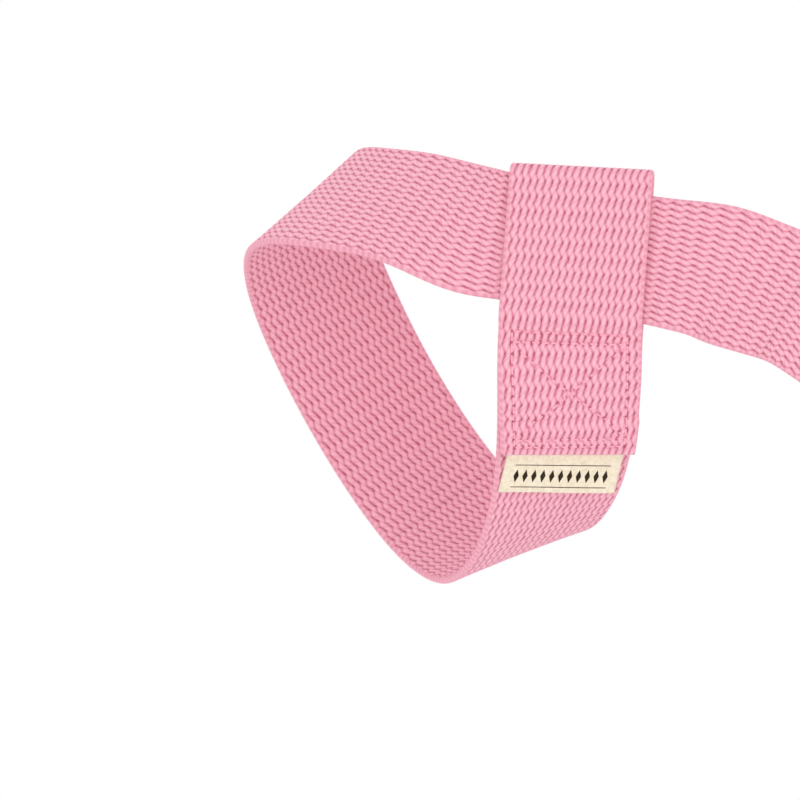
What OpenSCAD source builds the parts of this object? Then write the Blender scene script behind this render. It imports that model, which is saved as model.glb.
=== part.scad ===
// Stretching strap: one strip of webbing with a sewn eye at each end, slung round a roll that is left out.
// Millimetres. X runs along the roll, -Y is the front, Z is up. The roll's axis is the X axis.

/* [Roll] */
// Diameter of the roll the strap is drawn round
roll_diameter = 100; // [80:1:130]
// Distance between the two places where the strap passes through its eyes
eye_spacing = 300; // [220:5:420]

/* [Webbing] */
// Width of the webbing
webbing_width = 38; // [30:0.5:50]
// Thickness of the webbing
webbing_thickness = 2; // [1.4:0.1:2.8]
// How far the carrying loop hangs below where it leaves the roll
carry_drop = 303; // [240:1:420]

/* [Sewing] */
// Length of the box stitch along the webbing
box_length = 32; // [24:0.5:44]
// Width of one stitch
thread_width = 0.8; // [0.5:0.1:1.2]
// Length of one stitch
stitch_length = 2.4; // [1.8:0.1:3]

/* [Label] */
// Width of the label across the webbing
label_width = 32.5; // [20:0.5:34]
// How far the label shows below the cut end
label_length = 13; // [8:0.5:16]
// Thickness of the folded label
label_thickness = 0.8; // [0.5:0.1:1.2]

/* [Hidden] */

pink = [0.93, 0.65, 0.73];
thread_pink = [0.88, 0.58, 0.67];
cream = [0.92, 0.87, 0.77];

half = eye_spacing / 2;
scale_up = roll_diameter / 100;
// Half the width of the carrying loop where it leaves the roll
loop_half = half - 47 * scale_up;
// The strap presses a soft roll in by this much where it crosses itself
press = 1.5 * scale_up;
// Angle round the roll of the crossing, from the front, positive downward
crossing_at = -38.5;
// Headings at the crossing, away from the direction round the roll
eye_heading = 31;
strap_heading = 52.5;
gap = 0.2;
// Height between the middles of the eye's two layers where the strap runs between them
open_lift = 2 * webbing_thickness + 2 * gap;
// Height between them where they are sewn together
sewn_lift = webbing_thickness + 0.1;
// Width that webbing 38 wide keeps where the eye squeezes it
squeezed = 34;

outward = [0, -cos(crossing_at), -sin(crossing_at)];
downward = [0, sin(crossing_at), -cos(crossing_at)];
crossing_foot = [-half, 0, 0] + outward * (roll_diameter / 2 - press);

// Control points: place, outward direction, width
function on_flat(along, heading, out, width) = concat(
    crossing_foot + scale_up * along * (sin(heading) * [1, 0, 0] + cos(heading) * downward)
    + out * outward, outward, [width * webbing_width / 38]);
function on_roll(x, around, radius, lean, width) = concat(
    [x * scale_up - half, -radius * scale_up * cos(around), -radius * scale_up * sin(around)],
    [-sin(lean), -cos(lean) * cos(around), -cos(lean) * sin(around)], [width * webbing_width / 38]);
function hanging(x, y, z, normal, width) = concat(
    [-x * loop_half, -y * scale_up, -5.6 * scale_up - z * carry_drop], normal,
    [width * webbing_width / 38]);

// A wider strap runs through a longer flat opening
eye_points = [for (along = [-36, -28, -20, -12, -4, 4, 12, 20, 25.5])
    on_flat(along * (along > 0 ? webbing_width / 38 : 1), -eye_heading, webbing_thickness / 2, 38)];
wrap_points = [
    on_roll(-18, -5, 53.8, 0, 38), on_roll(-22.5, 5, 53.1, 1, 37.8), on_roll(-27.5, 16, 52.8, 2, 37.5),
    on_roll(-33, 28, 52.8, 3, 37.5), on_roll(-39, 40, 53, 4.5, 37.5), on_roll(-44.5, 52, 53.3, 6, 37.5),
    on_roll(-50, 65, 53.4, 6.7, 38), on_roll(-54.5, 80, 53, 5, 38), on_roll(-58.5, 97, 52.7, 3, 38),
    on_roll(-62, 115, 52.4, 0, 38), on_roll(-64.5, 133, 52.2, 0, 38), on_roll(-66, 151, 52.2, 0, 38),
    on_roll(-66.5, 169, 52.5, 0, 38), on_roll(-66, 187, 53, 3, 38), on_roll(-64.8, 204, 54, 7, 38),
    on_roll(-62.8, 219, 55, 10, 38), on_roll(-60.6, 232, 56, 13, 38), on_roll(-58, 245, 57, 15, 38),
    on_roll(-54, 256, 57.4, 14, 38), on_roll(-49.5, 266, 57.2, 11, 37.5), on_roll(-43.5, 275, 56.8, 8, 37),
    on_roll(-36, 284, 56.3, 4, 36.5), on_roll(-29.5, 293, 55.6, 2, 36)];
// A wider eye needs the strap straight for longer before it, and the strap spreads only outside the eye
crossing_points = [for (i = [0:8]) let (along = (8 * i - 28) * (i < 4 ? webbing_width / 38 : 1))
    on_flat(along, strap_heading, 1.5 * webbing_thickness + gap,
        squeezed + 0.14 * max(0, abs(along) - webbing_width / 2))];
exit_points = [on_roll(34.5, -8.5, 55, 0, 37), on_roll(41, -1, 54.7, 0, 37), on_roll(47, 6.5, 54.5, 0, 37)];
carry_points = [
    hanging(0.950, 55, 0.034, [-0.05, -1, 0], 37), hanging(0.900, 55, 0.070, [-0.18, -1, 0], 37.5),
    hanging(0.859, 55, 0.112, [-0.36, -0.93, 0], 38), hanging(0.826, 55, 0.160, [-0.56, -0.83, 0], 38),
    hanging(0.800, 55, 0.216, [-0.76, -0.65, 0], 38), hanging(0.779, 55, 0.280, [-0.9, -0.43, 0], 38),
    hanging(0.766, 55, 0.352, [-0.97, -0.2, 0], 38), hanging(0.759, 55, 0.430, [-1, -0.05, 0], 38),
    hanging(0.757, 55, 0.510, [-1, 0, 0], 38), hanging(0.753, 55, 0.592, [-1, 0, -0.02], 38),
    hanging(0.738, 55, 0.674, [-1, 0, -0.08], 38), hanging(0.702, 55, 0.755, [-0.97, 0, -0.22], 38),
    hanging(0.631, 55, 0.832, [-0.9, 0, -0.42], 38), hanging(0.518, 55, 0.902, [-0.77, 0, -0.64], 38),
    hanging(0.367, 55, 0.957, [-0.55, 0, -0.83], 38), hanging(0.189, 55, 0.990, [-0.28, 0, -0.96], 38),
    hanging(0, 55, 1, [0, 0, -1], 38), hanging(-0.189, 55, 0.990, [0.28, 0, -0.96], 38)];
strap = concat(eye_points, wrap_points, crossing_points, exit_points, carry_points);

// A smooth curve through the control points, u from 0 at the second point
function blend(u) = let (i = min(floor(u), len(strap) - 4), t = u - i)
    (pow(1 - t, 3) * strap[i] + (3 * pow(t, 3) - 6 * t * t + 4) * strap[i + 1]
    + (-3 * pow(t, 3) + 3 * t * t + 3 * t + 1) * strap[i + 2] + pow(t, 3) * strap[i + 3]) / 6;
function place(p) = [p[0], p[1], p[2]];
function facing(p) = [p[3], p[4], p[5]];
function unit(v) = v / norm(v);

// Length along the strap against u, and back
fine = 8;
last = (len(strap) - 3) * fine;
u_of_length = [for (i = 0, s = 0; i <= last;
    s = s + (i < last ? norm(place(blend((i + 1) / fine)) - place(blend(i / fine))) : 0), i = i + 1)
    [s, i / fine]];
length_of_u = [for (pair = u_of_length) [pair[1], pair[0]]];
function at(s) = blend(lookup(s, u_of_length));
function length_at(u) = lookup(u, length_of_u);

// Frame at a length along the strap, raised by a height: place, across, outward, width
nudge = 0.4;
function raised(s, lift) = place(at(s)) + unit(facing(at(s))) * lift;
function frame_of(middle, ahead, normal, width) = let (t = unit(ahead), w = unit(cross(normal, t)))
    [middle, w, cross(t, w), width];
function frame(s) = frame_of(place(at(s)), place(at(s + nudge)) - place(at(s - nudge)),
    facing(at(s)), at(s)[6]);
function lifted(s, width) = turned(frame_of(raised(s, lift_at(s)),
    raised(s + nudge, lift_at(s + nudge)) - raised(s - nudge, lift_at(s - nudge)),
    facing(at(s)), width), askew * max(0, min(1, (s - cut_at + 14) / 14)));
function turned(f, a) = [f[0], cos(a) * f[1] + sin(a) * cross(f[1], f[2]), f[2], f[3]];
function flipped(f) = [f[0], f[1], -f[2], f[3]];
function mirrored(f) = [[-f[0][0], f[0][1], f[0][2]], [f[1][0], -f[1][1], -f[1][2]],
    [-f[2][0], f[2][1], f[2][2]], f[3]];

// Lengths along the strap, from the start of the curve
lead = 28 * scale_up;
angle_off = abs(90 - eye_heading - strap_heading);
reach = (squeezed + 0.5) / 38 * webbing_width / 2 / cos(angle_off) + webbing_width / 2 * tan(angle_off);
// The strap's rounded selvedge reaches a little way into the fold
fold_from = lead - reach + 0.6;
rise = 3;
box_from = lead + reach + rise;
cut_at = box_from + box_length + 0.5;
tuck = 6;
// The cut end and the label are sewn a little askew, and the label stands a little off the webbing
askew = 7;
label_gap = 0.2;
label_tilt = 2;
eye_to = cut_at + 1;
bottom_to = length_at(17);
back_to = length_at(22.5);
top_to = length_at(28.5);
exit_at = length_at(41.5);
bend_to = length_at(46);
drop_to = length_at(52);
middle_at = length_at(len(strap) - 3);

// Height of the eye's outer layer over its inner one
function lift_at(s) = s < box_from - rise ? open_lift
    : s < box_from ? open_lift + (sewn_lift - open_lift) * (s - box_from + rise) / rise
    : s < cut_at - tuck - 4 ? sewn_lift
    : s < cut_at - tuck - 2 ? sewn_lift + (label_thickness + 1.5 * label_gap) * (s - cut_at + tuck + 4) / 2
    : sewn_lift + label_thickness + 1.5 * label_gap;

// Outline of the webbing: flat faces and rounded selvedges
function section(width, thick) = [for (side = [1, -1]) each concat(
    [for (a = [-90:45:90]) [side * (width / 2 - thick / 2 + thick / 2 * cos(a)), side * thick / 2 * sin(a)]],
    [for (k = [1:3]) [side * (width / 2 - thick / 2) * (1 - k / 2), side * thick / 2]])];
module ribbon(frames, thick) {
    m = 16;
    n = len(frames);
    points = [for (f = frames) for (p = section(f[3], thick)) f[0] + f[1] * p[0] + f[2] * p[1]];
    sides = [for (i = [0:n - 2]) for (j = [0:m - 1]) for (k = [0, 1]) let (next = (j + 1) % m)
        k == 0 ? [i * m + j, i * m + next, (i + 1) * m + next]
               : [i * m + j, (i + 1) * m + next, (i + 1) * m + j]];
    // Each end is closed by the two rounded edges and four quads between them
    cap = [[0, 1, 2, 3, 4], [15, 0, 4, 5], [14, 15, 5, 6], [13, 14, 6, 7], [12, 13, 7, 8], [8, 9, 10, 11, 12]];
    ends = concat([for (c = cap) [for (j = [len(c) - 1:-1:0]) c[j]]],
        [for (c = cap) [for (j = c) (n - 1) * m + j]]);
    polyhedron(points, concat(sides, ends), convexity = 6);
}
function steps(from, to, pitch) = let (n = ceil((to - from) / pitch)) [for (i = [0:n])
    from + (to - from) * i / n];
module stretch(from, to, pitch = 5) ribbon([for (s = steps(from, to, pitch)) frame(s)], webbing_thickness);

module wrap_bottom() color(pink) stretch(eye_to, bottom_to);
module wrap_back() color(pink) stretch(bottom_to, back_to);
module wrap_top() color(pink) stretch(back_to, top_to);
module crossing() color(pink) stretch(top_to, exit_at);
module carry_bend() color(pink) stretch(exit_at, bend_to);
module carry_drop_side() color(pink) stretch(bend_to, drop_to, 8);

module eye_webbing() {
    outer = [for (s = steps(fold_from, cut_at, 2.5)) lifted(s, at(s)[6])];
    start = frame(fold_from);
    hub = start[0] + start[2] * open_lift / 2;
    tip = -cross(start[1], start[2]);
    bend = [for (a = [165:-15:15]) let (out = -cos(a) * start[2] + sin(a) * tip)
        [hub + open_lift / 2 * out, start[1], out, start[3]]];
    inner = [for (s = steps(fold_from, eye_to, 2.5)) flipped(frame(s))];
    loop = concat([for (i = [len(outer) - 1:-1:0]) outer[i]], bend, inner);
    color(pink) ribbon([for (f = loop) [f[0], -f[1], f[2], f[3]]], webbing_thickness);
}

// One stitch lying on the outer layer, at a length along and a distance across, turned by an angle
module stitch(s, across, turn) {
    f = lifted(s, webbing_width);
    t = cross(f[2], f[1]);
    spot = f[0] + f[1] * across + f[2] * (webbing_thickness / 2 + 0.02);
    multmatrix([[t[0], f[1][0], f[2][0], spot[0]], [t[1], f[1][1], f[2][1], spot[1]],
        [t[2], f[1][2], f[2][2], spot[2]], [0, 0, 0, 1]])
    rotate([0, 0, turn]) cube([stitch_length, thread_width, 0.6], center = true);
}
row_half = webbing_width * 0.39;
row_step = 2.4;
stitches_across = 9;
stitches_along = 8;
module box_stitch() color(thread_pink) {
    first = box_from + 0.8;
    final = cut_at - 1.8;
    low = final - row_step;
    for (s = [first, first + row_step, low, final]) for (i = [0:stitches_across - 1])
        stitch(s, (i / (stitches_across - 1) - 0.5) * (2 * row_half - stitch_length - 1.6), 90);
    for (side = [-1, 1]) for (i = [0:stitches_along - 1])
        stitch(first + (final - first) * (i + 0.5) / stitches_along, side * row_half, 0);
    inner_from = first + 2 * row_step;
    inner_to = low - row_step;
    slope = atan2(2 * (row_half - 3), inner_to - inner_from);
    for (side = [-1, 1]) for (i = [0:8]) if (side > 0 || i != 4)
        stitch(inner_from + (inner_to - inner_from) * i / 8, side * (i / 4 - 1) * (row_half - 3), side * slope);
}

label_lift = webbing_thickness / 2 + label_gap + label_thickness / 2;
function label_frame(s) = let (f = turned(frame(s), askew)) [f[0] + f[2] * label_lift, f[1], f[2], label_width];
module label_tuck() color(cream)
    ribbon([for (s = steps(cut_at - tuck + 1, cut_at + 0.3, 2)) label_frame(s)], label_thickness);
module label() {
    // The loose part stands straight off the curve of the webbing
    f = label_frame(cut_at + 0.8);
    t = cross(f[1], f[2]);
    ahead = cos(label_tilt) * t + sin(label_tilt) * f[2];
    out = cos(label_tilt) * f[2] - sin(label_tilt) * t;
    color(cream) ribbon([for (d = [0, label_length / 2, label_length]) [f[0] + ahead * d, f[1], out, f[3]]],
        label_thickness);
}

module carry_bottom() {
    left = [for (s = steps(drop_to, middle_at, 6)) frame(s)];
    right = [for (i = [len(left) - 2:-1:0]) mirrored(left[i])];
    color(pink) ribbon(concat(left, [for (f = right) [f[0], -f[1], f[2], f[3]]]), webbing_thickness);
}

module other_side() mirror([1, 0, 0]) children();

wrap_back();  // left_wrap_back
wrap_top();  // left_wrap_top
crossing();  // left_crossing
other_side() wrap_back();  // right_wrap_back
other_side() wrap_top();  // right_wrap_top
other_side() crossing();  // right_crossing
eye_webbing();  // left_eye_webbing
box_stitch();  // left_box_stitch
wrap_bottom();  // left_wrap_bottom
label_tuck();
label();
other_side() eye_webbing();  // right_eye_webbing
other_side() box_stitch();  // right_box_stitch
other_side() wrap_bottom();  // right_wrap_bottom
carry_bend();  // left_carry_bend
carry_drop_side();  // left_carry_drop
carry_bottom();
other_side() carry_drop_side();  // right_carry_drop
other_side() carry_bend();  // right_carry_bend
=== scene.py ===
from math import ceil, cos, pi, radians, sin, tan

import bpy
import numpy as np
from mathutils import Matrix, Vector


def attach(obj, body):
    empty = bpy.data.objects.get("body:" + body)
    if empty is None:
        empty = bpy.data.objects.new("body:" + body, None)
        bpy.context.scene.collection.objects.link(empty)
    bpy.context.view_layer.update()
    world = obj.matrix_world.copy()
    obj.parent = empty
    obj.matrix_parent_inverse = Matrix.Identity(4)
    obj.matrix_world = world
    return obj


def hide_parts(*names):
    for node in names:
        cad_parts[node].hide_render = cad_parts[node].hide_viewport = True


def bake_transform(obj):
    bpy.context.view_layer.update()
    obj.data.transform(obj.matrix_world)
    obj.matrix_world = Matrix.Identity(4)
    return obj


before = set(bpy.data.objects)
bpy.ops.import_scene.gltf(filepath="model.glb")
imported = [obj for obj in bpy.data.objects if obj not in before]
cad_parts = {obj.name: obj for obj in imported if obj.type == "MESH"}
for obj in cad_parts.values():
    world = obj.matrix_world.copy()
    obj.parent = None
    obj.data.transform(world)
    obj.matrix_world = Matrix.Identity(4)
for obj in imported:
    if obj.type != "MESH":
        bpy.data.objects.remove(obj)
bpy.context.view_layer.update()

MM = 0.001
# Takes the left half of the strap to the right half
MIRROR = np.array([-1, 1, 1])
scene = bpy.context.scene
scene.view_settings.view_transform = "Standard"

# The strap's sizes in millimetres, as in part.scad
THICK, WIDTH, GAP, DROP, HALF, RADIUS = 2.0, 38.0, 0.2, 303.0, 150.0, 50.0
BOX_LENGTH, LABEL_WIDE, LABEL_LENGTH, LABEL_ROOM, LABEL_GAP = 32, 32.5, 13.0, 0.8, 0.2
LOOP_HALF = HALF - 47
LOOP_FRONT, LOOP_TOP = -55, -5.6
PRESS = 1.5
CROSSING_AT = radians(-38.5)
EYE_HEADING, STRAP_HEADING = 31, 52.5
SQUEEZED = 34
OPEN_LIFT, SEWN_LIFT = 2 * THICK + 2 * GAP, THICK + 0.1

OUT = np.array([0, -cos(CROSSING_AT), -sin(CROSSING_AT)])
DOWN = np.array([0, sin(CROSSING_AT), -cos(CROSSING_AT)])
ALONG = np.array([1.0, 0, 0])
FOOT = np.array([-HALF, 0, 0]) + OUT * (RADIUS - PRESS)


# Control points of the strap's left half: place, outward direction, width
def on_flat(along, heading, out, width):
    h = radians(heading)
    return [*(FOOT + along * (sin(h) * ALONG + cos(h) * DOWN) + out * OUT), *OUT, width]


def on_roll(x, around, radius, lean, width):
    a, l = radians(around), radians(lean)
    return [x - HALF, -radius * cos(a), -radius * sin(a),
            -sin(l), -cos(l) * cos(a), -cos(l) * sin(a), width]


def hanging(x, z, nx, ny, nz, width):
    return [-x * LOOP_HALF, LOOP_FRONT, LOOP_TOP - z * DROP, nx, ny, nz, width]


def at_crossing(along):
    """The eye squeezes the strap, which spreads again outside it."""
    width = SQUEEZED + 0.14 * max(0, abs(along) - WIDTH / 2)
    return on_flat(along, STRAP_HEADING, 1.5 * THICK + GAP, width)


POINTS = [on_flat(along, -EYE_HEADING, THICK / 2, 38)
          for along in (-36, -28, -20, -12, -4, 4, 12, 20, 25.5)]
POINTS += [on_roll(*p) for p in (
    (-18, -5, 53.8, 0, 38), (-22.5, 5, 53.1, 1, 37.8), (-27.5, 16, 52.8, 2, 37.5),
    (-33, 28, 52.8, 3, 37.5), (-39, 40, 53, 4.5, 37.5), (-44.5, 52, 53.3, 6, 37.5),
    (-50, 65, 53.4, 6.7, 38), (-54.5, 80, 53, 5, 38), (-58.5, 97, 52.7, 3, 38),
    (-62, 115, 52.4, 0, 38), (-64.5, 133, 52.2, 0, 38), (-66, 151, 52.2, 0, 38),
    (-66.5, 169, 52.5, 0, 38), (-66, 187, 53, 3, 38), (-64.8, 204, 54, 7, 38),
    (-62.8, 219, 55, 10, 38), (-60.6, 232, 56, 13, 38), (-58, 245, 57, 15, 38),
    (-54, 256, 57.4, 14, 38), (-49.5, 266, 57.2, 11, 37.5), (-43.5, 275, 56.8, 8, 37),
    (-36, 284, 56.3, 4, 36.5), (-29.5, 293, 55.6, 2, 36))]
POINTS += [at_crossing(along) for along in range(-28, 37, 8)]
POINTS += [on_roll(*p) for p in ((34.5, -8.5, 55, 0, 37), (41, -1, 54.7, 0, 37), (47, 6.5, 54.5, 0, 37))]
POINTS += [hanging(*p) for p in (
    (0.950, 0.034, -0.05, -1, 0, 37), (0.900, 0.070, -0.18, -1, 0, 37.5),
    (0.859, 0.112, -0.36, -0.93, 0, 38), (0.826, 0.160, -0.56, -0.83, 0, 38),
    (0.800, 0.216, -0.76, -0.65, 0, 38), (0.779, 0.280, -0.9, -0.43, 0, 38),
    (0.766, 0.352, -0.97, -0.2, 0, 38), (0.759, 0.430, -1, -0.05, 0, 38),
    (0.757, 0.510, -1, 0, 0, 38), (0.753, 0.592, -1, 0, -0.02, 38),
    (0.738, 0.674, -1, 0, -0.08, 38), (0.702, 0.755, -0.97, 0, -0.22, 38),
    (0.631, 0.832, -0.9, 0, -0.42, 38), (0.518, 0.902, -0.77, 0, -0.64, 38),
    (0.367, 0.957, -0.55, 0, -0.83, 38), (0.189, 0.990, -0.28, 0, -0.96, 38),
    (0, 1, 0, 0, -1, 38), (-0.189, 0.990, 0.28, 0, -0.96, 38))]
POINTS = np.array(POINTS, float)


def blend_at(u):
    """A smooth curve through the control points, u from 0 at the second point."""
    i = np.minimum(np.floor(u).astype(int), len(POINTS) - 4)
    t = (u - i)[:, None]
    return ((1 - t) ** 3 * POINTS[i] + (3 * t**3 - 6 * t * t + 4) * POINTS[i + 1]
            + (-3 * t**3 + 3 * t * t + 3 * t + 1) * POINTS[i + 2] + t**3 * POINTS[i + 3]) / 6


# Length along the strap against u
FINE = 8
U = np.arange(0, (len(POINTS) - 3) * FINE + 1) / FINE
LENGTHS = np.r_[0, np.cumsum(np.linalg.norm(np.diff(blend_at(U)[:, :3], axis=0), axis=1))]
MIDDLE = LENGTHS[-1]
NUDGE = 0.4


def length_at(u):
    return float(np.interp(u, U, LENGTHS))


def unit(v):
    return v / np.linalg.norm(v, axis=-1, keepdims=True)


def frames(s, lift=lambda s: 0 * s):
    """Middle, across, outward and width at each length along the left half of the strap."""
    def at(q):
        p = blend_at(np.interp(q, LENGTHS, U))
        return p, p[:, :3] + unit(p[:, 3:6]) * lift(q)[:, None]
    p, middle = at(s)
    ahead = unit(at(s + NUDGE)[1] - at(s - NUDGE)[1])
    across = unit(np.cross(p[:, 3:6], ahead))
    return middle, across, np.cross(ahead, across), p[:, 6]


# Lengths along the strap, as in part.scad
LEAD = 28.0
OFF = radians(90 - EYE_HEADING - STRAP_HEADING)
REACH = (SQUEEZED + 0.5) / 38 * WIDTH / 2 / cos(OFF) + WIDTH / 2 * tan(OFF)
FOLD = LEAD - REACH + 0.6
RISE, TUCK = 3.0, 6.0
BOX = LEAD + REACH + RISE
CUT = BOX + BOX_LENGTH + 0.5
EYE_TO = CUT + 1
BOTTOM_TO, EXIT = length_at(17), length_at(41.5)
# The cut end and the label are sewn askew, by this many degrees over the last stretch
ASKEW, ASKEW_OVER = 7.0, 14


def eye_lift(s):
    """Height of the eye's outer layer over its inner one, with room for the label at the cut end."""
    over_label = SEWN_LIFT + LABEL_ROOM + 1.5 * LABEL_GAP
    return np.interp(s, [BOX - RISE, BOX, CUT - TUCK - 4, CUT - TUCK - 2],
                     [OPEN_LIFT, SEWN_LIFT, SEWN_LIFT, over_label])


def turned(across, outward, s):
    a = np.radians(ASKEW * np.clip((s - CUT + ASKEW_OVER) / ASKEW_OVER, 0, 1))[:, None]
    return np.cos(a) * across + np.sin(a) * np.cross(across, outward)


def outer(s):
    """Frames of the eye's outer layer."""
    m, w, n, width = frames(s, eye_lift)
    return m, turned(w, n, s), n, width


# Weave: lengthwise ribs that sway together, between two plain selvedges
RIB, SWAY, SWAY_BY = 1.92, 4.07, 0.32
RIB_SHAPE, SWAY_LAG, SELVEDGE = 0.7, 0.6, 1.1
# How far the weave stands up, and how far a stitch pulls it down
WEAVE_RISE, STITCH_PULL = 0.3, 0.35
# Millimetres to one unit of the texture coordinates
UV_MM = 100.0


def weave(a, s, width):
    """Height of the cloth over its plain face, 0 to -1, at a across and s along."""
    flat = a * WIDTH / width
    turns = 2 * pi * s / SWAY
    rib = np.abs(np.sin(pi * (flat + SWAY_BY * np.sin(turns)) / RIB))
    groove = (1 - rib**RIB_SHAPE) * (0.82 + 0.18 * np.cos(turns + SWAY_LAG))
    hem = np.clip((np.abs(flat) - (WIDTH / 2 - SELVEDGE)) / 0.4, 0, 1)
    bead = 0.5 + 0.5 * np.cos(2 * turns)
    return (1 - hem) * (-groove * 0.85 - 0.15 * bead) - hem * 0.25 * bead


def mesh_object(name, verts, faces, uvs, material):
    """A smooth mesh, from millimetres, with its faces turned outward."""
    mesh = bpy.data.meshes.new(name)
    mesh.from_pydata((verts * MM).tolist(), [], faces)
    layer = mesh.uv_layers.new(name="UVMap")
    loops = np.empty(len(mesh.loops), np.int32)
    mesh.loops.foreach_get("vertex_index", loops)
    layer.data.foreach_set("uv", uvs[loops].astype(np.float32).ravel())
    mesh.polygons.foreach_set("use_smooth", np.ones(len(mesh.polygons), bool))
    mesh.materials.append(material)
    mesh.validate()
    mesh.calc_loop_triangles()
    corners = np.empty(len(mesh.loop_triangles) * 3, np.int32)
    mesh.loop_triangles.foreach_get("vertices", corners)
    a, b, c = (verts[corners[k::3]] for k in range(3))
    if (np.cross(a, b) * c).sum() < 0:
        mesh.flip_normals()
    mesh.update()
    obj = bpy.data.objects.new(name, mesh)
    scene.collection.objects.link(obj)
    return obj


def ribbon(name, rings, s, columns, mirror=False, dent_and_shade=None):
    """Webbing swept along frames: a closed skin with the weave raised on both faces."""
    middle, across, outward, width = rings
    edge = 6
    face = np.linspace(-1, 1, columns)
    turn = np.radians(np.linspace(-90, 90, edge + 2)[1:-1])
    flat = width[:, None] / 2 - THICK / 2
    bulge = THICK / 2 * np.cos(turn)
    top = np.concatenate([flat * face[None, :], flat + bulge[::-1][None, :],
                          flat * face[None, ::-1], -flat - bulge[None, :]], axis=1)
    outline = np.concatenate([np.full(columns, THICK / 2), THICK / 2 * np.sin(turn[::-1]),
                              np.full(columns, -THICK / 2), THICK / 2 * np.sin(turn)])
    rise = outline[None, :].repeat(len(s), 0)
    sign = np.sign(rise)
    sign[:, columns:columns + edge] = 0
    sign[:, 2 * columns + edge:] = 0
    rise = rise + sign * weave(top, s[:, None], width[:, None]) * WEAVE_RISE
    marks = np.zeros_like(top)
    if dent_and_shade is not None:
        marks[:, :columns] = dent_and_shade(top[:, :columns])
        rise = rise - marks * STITCH_PULL
    verts = (middle[:, None, :] + across[:, None, :] * top[..., None]
             + outward[:, None, :] * rise[..., None])
    m, n = top.shape[1], len(s)
    uvs = np.stack([top * WIDTH / width[:, None] / UV_MM, s[:, None].repeat(m, 1) / UV_MM], -1)
    i, j = np.meshgrid(np.arange(n - 1), np.arange(m), indexing="ij")
    k = (j + 1) % m
    quads = np.stack([i * m + j, i * m + k, (i + 1) * m + k, (i + 1) * m + j], -1).reshape(-1, 4)
    caps = [list(range(m)), [(n - 1) * m + j for j in range(m)][::-1]]
    if mirror:
        verts = verts * MIRROR
        quads = quads[:, ::-1]
        caps = [cap[::-1] for cap in caps]
    faces = quads[:, ::-1].tolist() + caps
    obj = mesh_object(name, verts.reshape(-1, 3), faces, uvs.reshape(-1, 2), PINK)
    if dent_and_shade is not None:
        attribute = obj.data.attributes.new("dent_and_shade", "FLOAT", "POINT")
        attribute.data.foreach_set("value", marks.astype(np.float32).ravel())
    for cap in obj.data.polygons[-2:]:
        cap.use_smooth = False
    return obj


# Materials
def nodes_of(name):
    m = bpy.data.materials.new(name)
    m.use_nodes = True
    return m, m.node_tree.nodes, m.node_tree.links, m.node_tree.nodes["Principled BSDF"]


def srgb(r, g, b):
    def linear(c):
        return c / 12.92 if c <= 0.04045 else ((c + 0.055) / 1.055) ** 2.4
    return tuple(linear(c / 255) for c in (r, g, b)) + (1,)


def maths(nodes, links, kind, a, b=None, clamp=False):
    n = nodes.new("ShaderNodeMath")
    n.operation, n.use_clamp = kind, clamp
    for i, v in enumerate((a, b)):
        if v is None:
            continue
        if isinstance(v, (int, float)):
            n.inputs[i].default_value = v
        else:
            links.new(v, n.inputs[i])
    return n.outputs[0]


def noise_on(nodes, links, where, scale, detail, roughness=0.5):
    noise = nodes.new("ShaderNodeTexNoise")
    noise.inputs["Scale"].default_value = scale
    noise.inputs["Detail"].default_value = detail
    noise.inputs["Roughness"].default_value = roughness
    links.new(where, noise.inputs["Vector"])
    return noise.outputs[0]


def colour_by(nodes, links, bsdf, tone, low, high):
    """Base colour from a tone, between two (position, colour) pairs."""
    ramp = nodes.new("ShaderNodeValToRGB")
    for element, (position, colour) in zip(ramp.color_ramp.elements, (low, high)):
        element.position, element.color = position, colour
    links.new(tone, ramp.inputs[0])
    links.new(ramp.outputs[0], bsdf.inputs["Base Color"])
    return ramp


def bump_by(nodes, links, bsdf, height, distance, strength):
    bump = nodes.new("ShaderNodeBump")
    bump.inputs["Distance"].default_value = distance
    bump.inputs["Strength"].default_value = strength
    links.new(height, bump.inputs["Height"])
    links.new(bump.outputs[0], bsdf.inputs["Normal"])


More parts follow.
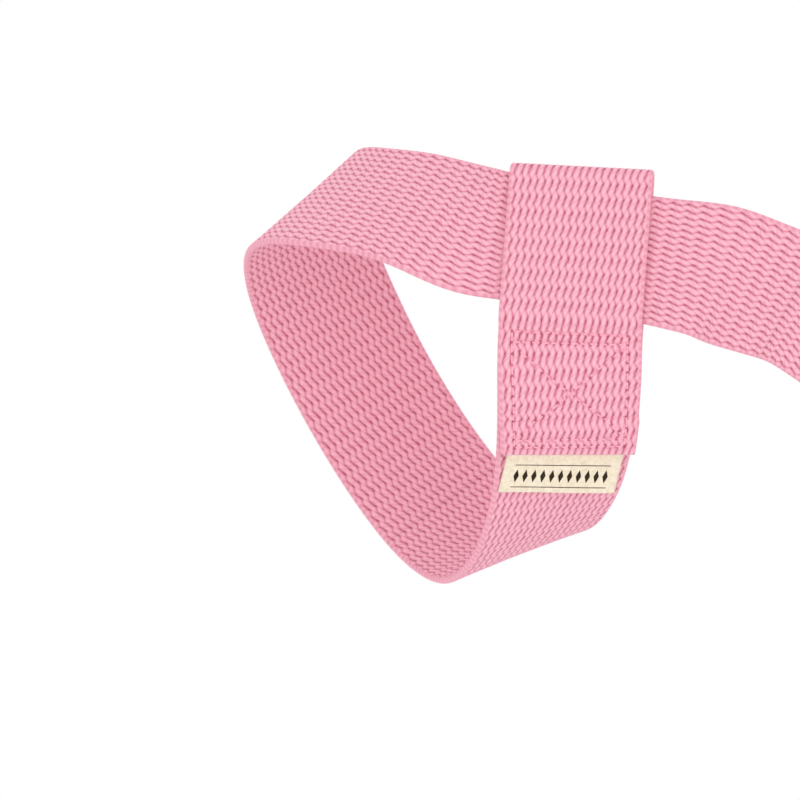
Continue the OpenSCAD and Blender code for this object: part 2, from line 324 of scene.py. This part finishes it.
def webbing_material(name, groove, mid, light):
    """Cotton webbing: groove and crown colours follow the weave, with painted shade darkening the
    grooves, the gaps between yarns and the stitch dents, loose fibres and a soft sheen.
    """
    m, nodes, links, bsdf = nodes_of(name)
    uv = nodes.new("ShaderNodeUVMap")
    uv.uv_map = "UVMap"
    split = nodes.new("ShaderNodeSeparateXYZ")
    links.new(uv.outputs[0], split.inputs[0])

    def op(kind, a, b=None, clamp=False):
        return maths(nodes, links, kind, a, b, clamp)
    a = op("MULTIPLY", split.outputs[0], UV_MM)
    s = op("MULTIPLY", split.outputs[1], UV_MM)
    fuzz = noise_on(nodes, links, uv.outputs[0], 420, 6, 0.7)
    coarse = noise_on(nodes, links, uv.outputs[0], 60, 4)
    wander = op("MULTIPLY", op("SUBTRACT", coarse, 0.5), 0.7)
    turns = op("ADD", op("MULTIPLY", s, 2 * pi / SWAY), op("MULTIPLY", wander, 2.4))
    sway = op("MULTIPLY", op("SINE", turns), SWAY_BY)
    place = op("ADD", op("ADD", a, sway), op("MULTIPLY", wander, 0.9))
    rib = op("ABSOLUTE", op("SINE", op("MULTIPLY", place, pi / RIB)))
    # the groove is deepest where the ribs sway one way, and closes where they sway back
    lagging = op("COSINE", op("ADD", turns, SWAY_LAG))
    open_by = op("ADD", 0.79, op("MULTIPLY", lagging, 0.21))
    # painted shade: groove_at darkens the colour in the grooves between the ribs (the same tone also
    # drives the bump)
    groove_at = op("MULTIPLY", op("SUBTRACT", 1.0, op("POWER", rib, RIB_SHAPE)), open_by)
    hem = op("MULTIPLY", op("SUBTRACT", op("ABSOLUTE", a), WIDTH / 2 - SELVEDGE), 2.5, True)
    # yarns lie at a slant across each rib
    lean = op("MULTIPLY", op("SUBTRACT", op("FRACT", op("DIVIDE", place, RIB)), 0.5), 2.2)
    yarn = op("ABSOLUTE", op("SINE", op("MULTIPLY", op("ADD", s, lean), 2 * pi / SWAY)))
    # painted shade: yarn_dip darkens the colour in the gaps between the slanting yarns
    yarn_dip = op("MULTIPLY", op("POWER", op("SUBTRACT", 1.0, yarn), 2.0), 0.3)
    base = op("SUBTRACT", op("SUBTRACT", 1.0, op("MULTIPLY", groove_at, 0.95)), yarn_dip)
    beads = op("SINE", op("MULTIPLY", s, 4 * pi / SWAY))
    edge_tone = op("ADD", 0.72, op("MULTIPLY", beads, 0.12))
    tone = op("ADD", op("MULTIPLY", base, op("SUBTRACT", 1.0, hem)), op("MULTIPLY", edge_tone, hem))
    tone = op("ADD", tone, op("MULTIPLY", op("SUBTRACT", fuzz, 0.5), 0.7))
    # painted shade: the colour is darkened where the stitches press the outer layer in
    dent_and_shade = nodes.new("ShaderNodeAttribute")
    dent_and_shade.attribute_name = "dent_and_shade"
    tone = op("SUBTRACT", tone, op("MULTIPLY", dent_and_shade.outputs["Fac"], 0.75))
    ramp = colour_by(nodes, links, bsdf, tone, (0.12, groove), (1.0, light))
    ramp.color_ramp.elements.new(0.5).color = mid
    bump_by(nodes, links, bsdf, tone, 0.0003, 0.8)
    bsdf.inputs["Roughness"].default_value = 0.9
    bsdf.inputs["Specular IOR Level"].default_value = 0.15
    bsdf.inputs["Sheen Weight"].default_value = 0.25
    bsdf.inputs["Sheen Roughness"].default_value = 0.5
    bsdf.inputs["Sheen Tint"].default_value = srgb(255, 225, 235)
    return m


def plain_cloth(name, colour, dark, scale):
    m, nodes, links, bsdf = nodes_of(name)
    where = nodes.new("ShaderNodeTexCoord")
    noise = noise_on(nodes, links, where.outputs["Object"], scale, 5)
    colour_by(nodes, links, bsdf, noise, (0.3, dark), (0.65, colour))
    bump_by(nodes, links, bsdf, noise, 0.0001, 0.6)
    bsdf.inputs["Roughness"].default_value = 0.92
    bsdf.inputs["Specular IOR Level"].default_value = 0.12
    return m


# The darkest pink is painted shade for the weave's grooves, the lightest is the crown of the ribs
PINK = webbing_material("pink_webbing", srgb(188, 86, 114), srgb(228, 143, 165), srgb(251, 190, 205))
THREAD = plain_cloth("pink_thread", srgb(252, 188, 204), srgb(236, 158, 178), 1500)
CREAM = plain_cloth("cream_cotton", srgb(243, 231, 209), srgb(226, 211, 186), 900)
PRINT = plain_cloth("dark_print", srgb(58, 47, 34), srgb(40, 32, 22), 900)

# Camera: square to the roll's axis, a long lens, rolled so that the axis climbs to the right
ELEVATION = radians(25)
# The axis's direction as the camera sees it
AXIS_RIGHT, AXIS_UP = 0.8894, 0.4571
DISTANCE, SENSOR = 3.0, 36
# Millimetres that the picture spans at the webbing, and where its middle lies from the crossing
SPAN, PAST_CROSSING, BELOW_AXIS = 210.5, 59.6, 2.3


def add_camera():
    row_x = Vector((AXIS_RIGHT, AXIS_UP, 0))
    row_z = Vector((-AXIS_UP * cos(ELEVATION), AXIS_RIGHT * cos(ELEVATION), sin(ELEVATION)))
    rotation = Matrix((row_x, row_z.cross(row_x), row_z)).to_4x4()
    right, up, back = (rotation @ Vector(v) for v in ((1, 0, 0), (0, 1, 0), (0, 0, 1)))
    camera = bpy.data.objects.new("camera", bpy.data.cameras.new("camera"))
    scene.collection.objects.link(camera)
    camera.data.sensor_width = SENSOR
    camera.data.lens = SENSOR * DISTANCE / (SPAN * MM)
    camera.data.clip_end = 20
    aim = Vector(((-HALF - PAST_CROSSING) * MM, 0, 0))
    aim += BELOW_AXIS * MM * (AXIS_UP * right - AXIS_RIGHT * up)
    camera.matrix_world = Matrix.Translation(aim + back * (DISTANCE + RADIUS * MM)) @ rotation
    scene.camera = camera


add_camera()

# Box stitch: double rows at both ends, single rows down the sides, and a cross between them
SEAM, STITCH = 15.2, 2.55
FIRST, FINAL = BOX + 0.6, CUT - 2.4
SEAMS = [((-SEAM, s), (SEAM, s)) for s in (FIRST, FIRST + 2.4, FINAL - 2.2, FINAL)]
SEAMS += [((a, FIRST), (a, FINAL)) for a in (-SEAM, SEAM)]
SEAMS += [((-a * SEAM, FIRST + 2.6), (a * SEAM, FINAL - 2.4)) for a in (-1, 1)]
# A thread's radius, how flat it is pressed, and how deep it dives and how high it arches
THREAD_RADIUS, THREAD_FLAT, DIVE, ARCH = 0.26, 0.75, 0.55, 0.48
THREAD_RINGS, THREAD_SIDES = 8, 6


def holes(seam):
    a, b = np.array(seam[0]), np.array(seam[1])
    n = max(1, round(np.linalg.norm(b - a) / STITCH))
    return a + (b - a) * np.linspace(0, 1, n + 1)[:, None]


def pressed_by(s, rings):
    """How far the sewing presses the outer layer in, 0 to 1, at each vertex of its face; the webbing
    material also darkens these dents as painted shade.
    """
    end_room, row_depth, row_width, hole_radius = 0.4, 0.08, 0.7, 0.42

    def depth(face):
        out = np.zeros((rings, face.shape[1]))
        a, b = face[:len(s)], s[:, None]
        total = np.zeros_like(a)
        for seam in SEAMS:
            p, q = np.array(seam[0]), np.array(seam[1])
            long = np.linalg.norm(q - p)
            d = (q - p) / long
            t = (a - p[0]) * d[0] + (b - p[1]) * d[1]
            off = np.abs((a - p[0]) * d[1] - (b - p[1]) * d[0])
            inside = (t > -end_room) & (t < long + end_room)
            total = np.maximum(total, inside * row_depth * np.exp(-(off / row_width) ** 2))
            for h in holes(seam):
                from_hole = (a - h[0]) ** 2 + (b - h[1]) ** 2
                total = np.maximum(total, np.exp(-from_hole / hole_radius**2))
        out[:len(s)] = total
        return out
    return depth


def threads(name, mirror):
    """Each stitch is a short thread that rises out of one hole and dives into the next."""
    verts, faces = [], []
    t = np.linspace(0, 1, THREAD_RINGS)
    around = range(THREAD_SIDES)
    ring = np.radians(np.arange(0, 360, 360 // THREAD_SIDES))
    for seam in SEAMS:
        dots = holes(seam)
        for p, q in zip(dots[:-1], dots[1:]):
            line = p + (q - p) * (0.06 + 0.88 * t)[:, None]
            m, w, n, _ = outer(line[:, 1])
            height = THICK / 2 - DIVE + ARCH * np.sin(pi * t) ** 0.6
            path = m + w * line[:, :1] + n * height[:, None]
            side = unit(np.cross(np.gradient(path, axis=0), n))
            start = len(verts)
            for c, a, b in zip(path, side, n):
                verts += [c + THREAD_RADIUS * (cos(r) * a + THREAD_FLAT * sin(r) * b) for r in ring]
            for i in range(THREAD_RINGS - 1):
                low = start + i * THREAD_SIDES
                high = low + THREAD_SIDES
                for j in around:
                    k = (j + 1) % THREAD_SIDES
                    faces.append([low + j, low + k, high + k, high + j])
            faces.append([start + j for j in reversed(around)])
            faces.append([start + (THREAD_RINGS - 1) * THREAD_SIDES + j for j in around])
    verts = np.array(verts)
    if mirror:
        verts, faces = verts * MIRROR, [face[::-1] for face in faces]
    return mesh_object(name, verts, faces, verts[:, :2] / UV_MM, THREAD)


def spaced(a, b, pitch):
    return np.linspace(a, b, ceil((b - a) / pitch) + 1)


def add_carrying_strap():
    """The carrying strap: one piece from eye to eye."""
    s = spaced(EXIT, MIDDLE, 1.0)
    m, w, n, width = frames(s)
    both = np.r_[s, 2 * MIDDLE - s[::-1][1:]]
    m, w, n = (np.r_[v, v[::-1][1:] * MIRROR] for v in (m, w, n))
    carry = ribbon("carry_webbing", (m, w, n, np.r_[width, width[::-1][1:]]), both, 60)
    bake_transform(carry)
    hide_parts("left_carry_bend", "left_carry_drop", "carry_bottom",
                "right_carry_drop", "right_carry_bend")


def add_lower_wrap(side, pitch, columns, mirror):
    """The lower wrap, between the fixed wrap and the sliding eye."""
    s = spaced(EYE_TO, BOTTOM_TO, pitch)
    low = ribbon(side + "_lower_wrap", frames(s), s, columns, mirror)
    ends = frames(np.array([BOTTOM_TO, EYE_TO]))[0] * (MIRROR if mirror else 1) * MM
    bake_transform(low)
    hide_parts(side + "_wrap_bottom")


def add_upper_wrap(side, pitch, columns, mirror):
    """The wrap round the back and top of the roll, and the crossing through the eye."""
    s = spaced(BOTTOM_TO, EXIT, pitch)
    upper = ribbon(side + "_upper_wrap", frames(s), s, columns, mirror)
    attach(upper, "mat_wraps")
    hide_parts(side + "_wrap_back", side + "_wrap_top", side + "_crossing")


def add_eye(side, pitch, columns, mirror):
    """The eye's outer layer, fold and inner layer in one sweep, and the box stitch through them."""
    so, si = spaced(FOLD, CUT, pitch), spaced(FOLD, EYE_TO, pitch)
    mo, wo, no, width_o = outer(so)
    mi, wi, ni, width_i = frames(si)
    bend = np.radians(np.arange(170, 5, -8))
    count = len(bend)
    hub = mi[0] + ni[0] * OPEN_LIFT / 2
    tip = -np.cross(wi[0], ni[0])
    nb = -np.cos(bend)[:, None] * ni[0] + np.sin(bend)[:, None] * tip
    mb = hub + OPEN_LIFT / 2 * nb
    arc = pi * OPEN_LIFT / 2
    sb = FOLD - arc * np.arange(1, count + 1) / (count + 1)
    along = np.r_[so[::-1] - so[0] + FOLD, sb, FOLD - arc - (si - FOLD)]
    rings = (np.r_[mo[::-1], mb, mi], np.r_[wo[::-1], np.repeat(wi[:1], count, 0), wi],
             np.r_[no[::-1], nb, -ni], np.r_[width_o[::-1], np.full(count, width_i[0]), width_i])
    loop = ribbon(side + "_eye_loop", rings, along, columns, mirror, pressed_by(so[::-1], len(along)))
    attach(loop, side + "_eye")
    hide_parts(side + "_eye_webbing")
    sewn = threads(side + "_stitches", mirror)
    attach(sewn, side + "_eye")
    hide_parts(side + "_box_stitch")


add_carrying_strap()
# The left end is the finer one, because it is the one seen close up
for side, pitch, columns, mirror in (("left", 0.55, 92, False), ("right", 0.9, 64, True)):
    add_lower_wrap(side, pitch, columns, mirror)
    add_upper_wrap(side, pitch, columns, mirror)
    add_eye(side, pitch, columns, mirror)

# The label: a cotton tape, tucked under the cut end, with a plain printed pattern
HINGE = CUT + 0.8
LABEL_LIFT, LABEL_THICK, LABEL_TILT = THICK / 2 + LABEL_GAP + LABEL_ROOM / 2, 0.7, radians(2)
# The free edge is rounded over this length, and the ink stands this far off the cloth
LABEL_ROUND, INK = 0.7, 0.03
# Two lines and a row of lozenges: reach across, places down, and the lozenge's half sizes
LINE_REACH, LINE_THICK, LINES_AT = 13.4, 0.25, (3.9, 10.9)
LOZENGES, LOZENGE_PITCH, LOZENGES_AT, LOZENGE_WIDE, LOZENGE_TALL = 11, 2.5, 7.5, 0.75, 2.1


def label_frame(s):
    m, w, n, _ = frames(np.array([s]))
    return m[0], turned(w, n, np.array([s]))[0], n[0]


HINGE_FRAME = label_frame(HINGE)


def label_at(a, d, h):
    """A point on the label at a across, d below the hinge and h over its middle."""
    if d < 0:
        m, w, n = label_frame(HINGE + d)
        return m + w * a + n * (LABEL_LIFT + h)
    m, w, n = HINGE_FRAME
    curl = 0.10 * sin(a / 5.2) * (d / LABEL_LENGTH) ** 2 + d * tan(LABEL_TILT)
    return m + w * a + np.cross(w, n) * d + n * (LABEL_LIFT + h + curl)


def tape(verts, faces, uvs):
    """Two faces of the tape, joined round the rim."""
    down = [-5, -3.5, -2, -0.6, 0, 0.6, 1.4] + [2 + 0.5 * i for i in range(21)]
    down += [12.3, 12.6, 12.8, 12.9]
    across = np.linspace(-LABEL_WIDE / 2, LABEL_WIDE / 2, 60)
    rows, cols = len(down), len(across)
    size = rows * cols
    for face in (1, -1):
        for d in down:
            pinch = min(1.0, (LABEL_LENGTH - d) / LABEL_ROUND) ** 0.5
            for a in across:
                verts.append(label_at(a, d, face * LABEL_THICK / 2 * pinch))
                uvs.append((a / UV_MM, d / UV_MM))
    for k in (0, 1):
        for i in range(rows - 1):
            for j in range(cols - 1):
                low = k * size + i * cols + j
                quad = [low, low + cols, low + cols + 1, low + 1]
                faces.append(quad if k == 0 else quad[::-1])
    rim = [i * cols for i in range(rows)] + [(rows - 1) * cols + j for j in range(1, cols)]
    rim += [i * cols + cols - 1 for i in range(rows - 2, -1, -1)] + list(range(cols - 2, 0, -1))
    for p, q in zip(rim, rim[1:] + rim[:1]):
        faces.append([p, p + size, q + size, q])


def printed_line(verts, faces, uvs, d0):
    """A printed line lying across the label's face."""
    n = int(2 * LINE_REACH / 0.6)
    start = len(verts)
    for i in range(n + 1):
        a = -LINE_REACH + 2 * LINE_REACH * i / n
        for d in (d0, d0 + LINE_THICK):
            verts.append(label_at(a, d, LABEL_THICK / 2 + INK))
            uvs.append((a / UV_MM, d / UV_MM))
    for i in range(n):
        low = start + 2 * i
        faces.append([low, low + 1, low + 3, low + 2])


def lozenge(verts, faces, uvs, middle):
    start = len(verts)
    for a, d in ((0, -LOZENGE_TALL), (-LOZENGE_WIDE, 0), (0, LOZENGE_TALL), (LOZENGE_WIDE, 0)):
        verts.append(label_at(middle + a, LOZENGES_AT + d, LABEL_THICK / 2 + INK))
        uvs.append((a / UV_MM, d / UV_MM))
    faces.append([start, start + 1, start + 2, start + 3])


def add_label():
    verts, faces, uvs = [], [], []
    tape(verts, faces, uvs)
    cloth_faces = len(faces)
    for d in LINES_AT:
        printed_line(verts, faces, uvs, d)
    for k in range(LOZENGES):
        lozenge(verts, faces, uvs, LOZENGE_PITCH * (k - LOZENGES // 2))
    label = mesh_object("label_tape", np.array(verts), faces, np.array(uvs), CREAM)
    label.data.materials.append(PRINT)
    for face in label.data.polygons[cloth_faces:]:
        face.material_index = 1
    pivot = frames(np.array([CUT + 0.4, CUT + 1.8]))[0] * MM
    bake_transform(label)
    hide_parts("label_tuck", "label")


add_label()

# Studio: white surroundings, three soft lamps and a pale floor
LIT = Vector((-0.15, 0, -0.05))
scene.world = bpy.data.worlds.new("world")
scene.world.use_nodes = True
background = scene.world.node_tree.nodes["Background"]
background.inputs["Color"].default_value = (1, 1, 1, 1)
background.inputs["Strength"].default_value = 1.0


def lamp(name, at, size, power):
    light = bpy.data.objects.new(name, bpy.data.lights.new(name, "AREA"))
    light.data.size, light.data.energy = size, power
    light.location = at
    light.rotation_euler = (LIT - Vector(at)).to_track_quat("-Z", "Y").to_euler()
    scene.collection.objects.link(light)


lamp("key", (-1.2, -0.9, 1.6), 0.9, 3)
lamp("fill", (0.4, -1.9, -0.1), 1.6, 6)
lamp("rim", (0.2, 1.8, 1.4), 1.4, 3)

bpy.ops.mesh.primitive_cylinder_add(vertices=128, radius=0.36, depth=0.01, location=(0, -0.02, -0.345))
floor = bpy.context.object
floor.name = "floor"
pale, _, _, look = nodes_of("pale_floor")
look.inputs["Base Color"].default_value = (0.86, 0.86, 0.86, 1)
look.inputs["Roughness"].default_value = 0.8
floor.data.materials.append(pale)
